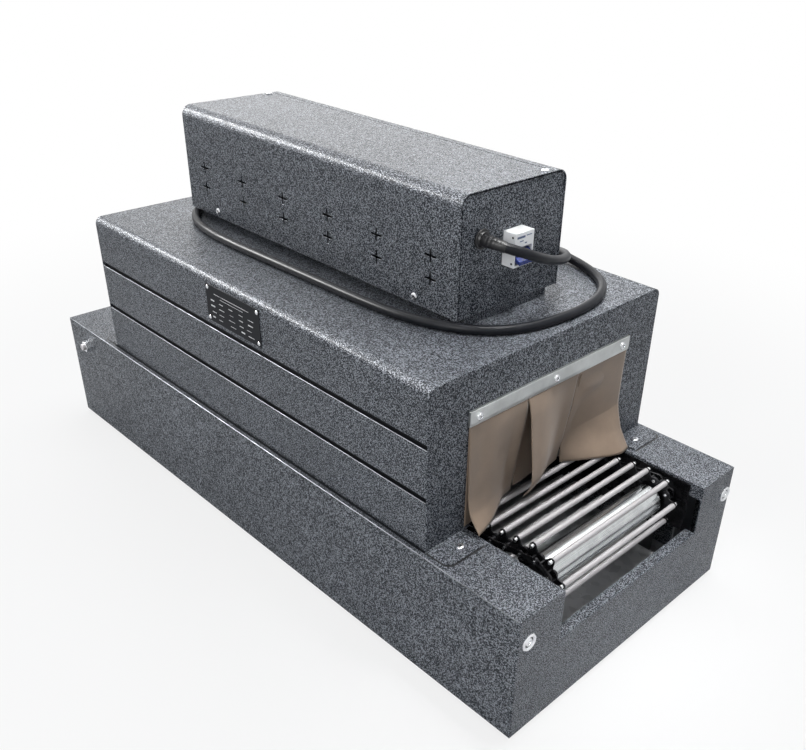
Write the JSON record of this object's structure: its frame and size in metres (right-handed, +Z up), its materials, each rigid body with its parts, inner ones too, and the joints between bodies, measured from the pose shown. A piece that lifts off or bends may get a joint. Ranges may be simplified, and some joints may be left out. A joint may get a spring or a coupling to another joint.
{
  "type": "shrink tunnel",
  "caption": "Bench shrink tunnel: hot chamber with strip curtains over a chain-and-rod conveyor in a folded base, with a control box on feet on its top.",
  "frame": {"origin": "on the floor under the middle of the base", "axes": "+X along the conveyor to the discharge end, +Y to the side with the controls, +Z up"},
  "size_m": [1.118, 0.503, 0.6035],
  "materials": {
    "casing_paint": "charcoal hammertone enamel",
    "black_steel": "oiled black steel",
    "bright_steel": "satin ground steel",
    "zinc_plate": "bright zinc plate",
    "galvanised_sheet": "galvanised sheet",
    "clamp_steel": "brushed stainless strip",
    "curtain_cloth": "coated glass cloth, satin",
    "mineral_wool": "matt fibre",
    "heater_tube": "oxidised tube",
    "cast_housing": "painted casting",
    "fan_metal": "plain",
    "plate_black": "black anodised",
    "foot_rubber": "matt",
    "black_plastic": "fine grain",
    "white_plastic": "smooth",
    "blue_plastic": "smooth",
    "rocker_plastic": "smooth",
    "lamp_lens": "red lens",
    "cord_rubber": "satin rubber",
    "pin_brass": "nickel-free brass"
  },
  "bodies": {
    "housing": {"base_shell": "casing_paint", "tunnel_cover": "casing_paint", "end_plate_infeed": "casing_paint", "end_plate_discharge": "casing_paint", "box_cover": "casing_paint", "control_panel": "casing_paint", "box_end_plates": "casing_paint", "box_feet": "casing_paint", "side_plates": "black_steel", "chain_rails": "black_steel", "conveyor_chains": "black_steel", "conveyor_rods": "bright_steel", "idler_axle": "bright_steel", "end_screws": "zinc_plate", "axle_nuts": "zinc_plate", "tab_screws": "zinc_plate", "clamp_screws": "zinc_plate", "cover_screws": "zinc_plate", "plate_rivets": "zinc_plate", "deck_plate": "galvanised_sheet", "base_floor": "galvanised_sheet", "chamber_liner": "galvanised_sheet", "box_floor": "galvanised_sheet", "clamp_strips": "clamp_steel", "insulation": "mineral_wool", "heater_elements": "heater_tube", "gear_motor": "cast_housing", "drive_bearings": "cast_housing", "fan_motors": "fan_metal", "name_plate": "plate_black", "rubber_feet": "foot_rubber", "control_units": "black_plastic", "cord_grommet": "black_plastic", "breaker_body": "white_plastic", "pilot_lamps": "lamp_lens", "power_cord": "cord_rubber", "plug_body": "cord_rubber", "plug_pins": "pin_brass"},
    "drive": {"drive_shaft": "bright_steel", "drive_drum": "bright_steel", "drive_sprockets": "black_steel"},
    "idler": {"idler_drum": "bright_steel", "idler_sprockets": "black_steel"},
    "infeed_fan": {"fan_impeller_infeed": "fan_metal"},
    "discharge_fan": {"fan_impeller_discharge": "fan_metal"},
    "breaker_lever": {"breaker_toggle": "blue_plastic"},
    "speed_dial": {"speed_knob": "black_plastic"},
    "heat_dial": {"heat_knob": "black_plastic"},
    "power_switch": {"power_rocker": "rocker_plastic"},
    "fan_switch": {"fan_rocker": "rocker_plastic"},
    "conveyor_switch": {"conveyor_rocker": "rocker_plastic"},
    "infeed_strip_1": {"curtain_infeed_1": "curtain_cloth"},
    "infeed_strip_2": {"curtain_infeed_2": "curtain_cloth"},
    "infeed_strip_3": {"curtain_infeed_3": "curtain_cloth"},
    "discharge_strip_1": {"curtain_discharge_1": "curtain_cloth"},
    "discharge_strip_2": {"curtain_discharge_2": "curtain_cloth"},
    "discharge_strip_3": {"curtain_discharge_3": "curtain_cloth"}
  },
  "joints": [
    {"name": "drive_shaft_turn", "type": "hinge", "parent": "housing", "child": "drive", "pos_m": [0.49, 0, 0.1645], "axis": [0, 1, 0], "continuous": true},
    {"name": "idler_drum_turn", "type": "hinge", "parent": "housing", "child": "idler", "pos_m": [-0.49, 0, 0.1645], "axis": [0, 1, 0], "continuous": true},
    {"name": "infeed_strip_1_swing", "type": "hinge", "parent": "housing", "child": "infeed_strip_1", "pos_m": [-0.393, 0, 0.3524], "axis": [0, -1, 0], "range_deg": [-60, 60]},
    {"name": "infeed_strip_2_swing", "type": "hinge", "parent": "housing", "child": "infeed_strip_2", "pos_m": [-0.393, 0, 0.3524], "axis": [0, -1, 0], "range_deg": [-60, 60]},
    {"name": "infeed_strip_3_swing", "type": "hinge", "parent": "housing", "child": "infeed_strip_3", "pos_m": [-0.393, 0, 0.3524], "axis": [0, -1, 0], "range_deg": [-60, 60]},
    {"name": "discharge_strip_1_swing", "type": "hinge", "parent": "housing", "child": "discharge_strip_1", "pos_m": [0.393, 0, 0.3524], "axis": [0, -1, 0], "range_deg": [0, 60]},
    {"name": "discharge_strip_2_swing", "type": "hinge", "parent": "housing", "child": "discharge_strip_2", "pos_m": [0.393, 0, 0.3524], "axis": [0, -1, 0], "range_deg": [-60, 60]},
    {"name": "discharge_strip_3_swing", "type": "hinge", "parent": "housing", "child": "discharge_strip_3", "pos_m": [0.393, 0, 0.3524], "axis": [0, -1, 0], "range_deg": [0, 60]},
    {"name": "infeed_fan_turn", "type": "hinge", "parent": "housing", "child": "infeed_fan", "pos_m": [-0.15, 0, 0.4], "axis": [0, 0, 1], "continuous": true},
    {"name": "discharge_fan_turn", "type": "hinge", "parent": "housing", "child": "discharge_fan", "pos_m": [0.15, 0, 0.4], "axis": [0, 0, 1], "continuous": true},
    {"name": "breaker_lever_flip", "type": "hinge", "parent": "housing", "child": "breaker_lever", "pos_m": [0.317, 0, 0.5115], "axis": [0, -1, 0], "range_deg": [0, 56]},
    {"name": "speed_dial_turn", "type": "hinge", "parent": "housing", "child": "speed_dial", "pos_m": [-0.06, 0.098, 0.521], "axis": [0, 1, 0], "range_deg": [-135, 135]},
    {"name": "heat_dial_turn", "type": "hinge", "parent": "housing", "child": "heat_dial", "pos_m": [-0.17, 0.098, 0.521], "axis": [0, 1, 0], "range_deg": [-135, 135]},
    {"name": "power_switch_rock", "type": "hinge", "parent": "housing", "child": "power_switch", "pos_m": [0.03, 0.098, 0.521], "axis": [-1, 0, 0], "range_deg": [0, 24]},
    {"name": "fan_switch_rock", "type": "hinge", "parent": "housing", "child": "fan_switch", "pos_m": [0.092, 0.098, 0.521], "axis": [-1, 0, 0], "range_deg": [0, 24]},
    {"name": "conveyor_switch_rock", "type": "hinge", "parent": "housing", "child": "conveyor_switch", "pos_m": [0.154, 0.098, 0.521], "axis": [-1, 0, 0], "range_deg": [0, 24]}
  ],
  "couplings": [
    {"joint": "idler_drum_turn", "follows": "drive_shaft_turn", "ratio": 1}
  ]
}
